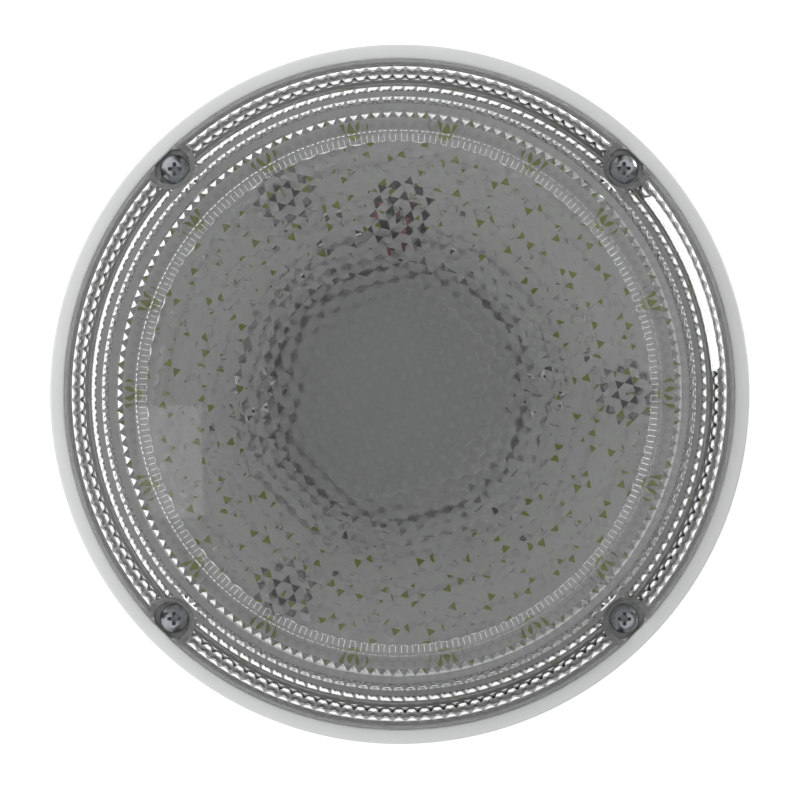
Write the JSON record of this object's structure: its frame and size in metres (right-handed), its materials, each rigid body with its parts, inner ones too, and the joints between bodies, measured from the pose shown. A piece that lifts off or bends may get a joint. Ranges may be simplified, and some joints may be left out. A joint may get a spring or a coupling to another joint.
{
  "type": "surface mount led lamp",
  "caption": "Round surface-mount LED lamp: white moulded base, clear domed lens with inner prisms held by cupped edge screws, and a ring-shaped LED board inside.",
  "frame": {"origin": "centre of the flat mounting face at the back of the base", "axes": "+Z out of the mounting face towards the lens, +Y towards the lead entry, +X to the right seen from in front of the lens"},
  "size_m": [0.216, 0.216, 0.0394],
  "materials": {
    "white_plastic": "satin moulded",
    "clear_plastic": "clear polished",
    "black_rubber": "matt",
    "white_silicone": "matt",
    "zinc_steel": "zinc plated",
    "bright_steel": "bright",
    "board_white": "solder mask",
    "led_phosphor": "cast resin",
    "chip_black": "moulded",
    "red_insulation": "extruded",
    "black_insulation": "extruded"
  },
  "bodies": {
    "lamp_body": {"base_housing": "white_plastic", "lens": "clear_plastic", "lens_gasket": "white_silicone", "led_board": "board_white", "board_screw_1": "bright_steel", "board_screw_2": "bright_steel", "led_string_01": "led_phosphor", "led_string_02": "led_phosphor", "led_string_03": "led_phosphor", "led_string_04": "led_phosphor", "led_string_05": "led_phosphor", "led_string_06": "led_phosphor", "led_string_07": "led_phosphor", "led_string_08": "led_phosphor", "led_string_09": "led_phosphor", "led_string_10": "led_phosphor", "led_string_11": "led_phosphor", "led_string_12": "led_phosphor", "led_string_13": "led_phosphor", "led_string_14": "led_phosphor", "led_string_15": "led_phosphor", "led_string_16": "led_phosphor", "led_string_17": "led_phosphor", "led_string_18": "led_phosphor", "resistor_1": "chip_black", "resistor_2": "chip_black", "resistor_3": "chip_black", "resistor_4": "chip_black", "resistor_5": "chip_black", "resistor_6": "chip_black", "polarity_diode": "chip_black", "wire_grommet": "black_rubber", "lead_red": "red_insulation", "lead_black": "black_insulation"},
    "lens_screw_1": {"lens_screw_1": "zinc_steel"},
    "lens_screw_2": {"lens_screw_2": "zinc_steel"},
    "lens_screw_3": {"lens_screw_3": "zinc_steel"},
    "lens_screw_4": {"lens_screw_4": "zinc_steel"}
  },
  "joints": [
    {"name": "lens_screw_1_turn", "type": "hinge", "parent": "lamp_body", "child": "lens_screw_1", "pos_m": [0.06926, 0.06926, 0.0133], "axis": [0, 0, 1], "continuous": true},
    {"name": "lens_screw_2_turn", "type": "hinge", "parent": "lamp_body", "child": "lens_screw_2", "pos_m": [-0.06926, 0.06926, 0.0133], "axis": [0, 0, 1], "continuous": true},
    {"name": "lens_screw_3_turn", "type": "hinge", "parent": "lamp_body", "child": "lens_screw_3", "pos_m": [-0.06926, -0.06926, 0.0133], "axis": [0, 0, 1], "continuous": true},
    {"name": "lens_screw_4_turn", "type": "hinge", "parent": "lamp_body", "child": "lens_screw_4", "pos_m": [0.06926, -0.06926, 0.0133], "axis": [0, 0, 1], "continuous": true}
  ]
}
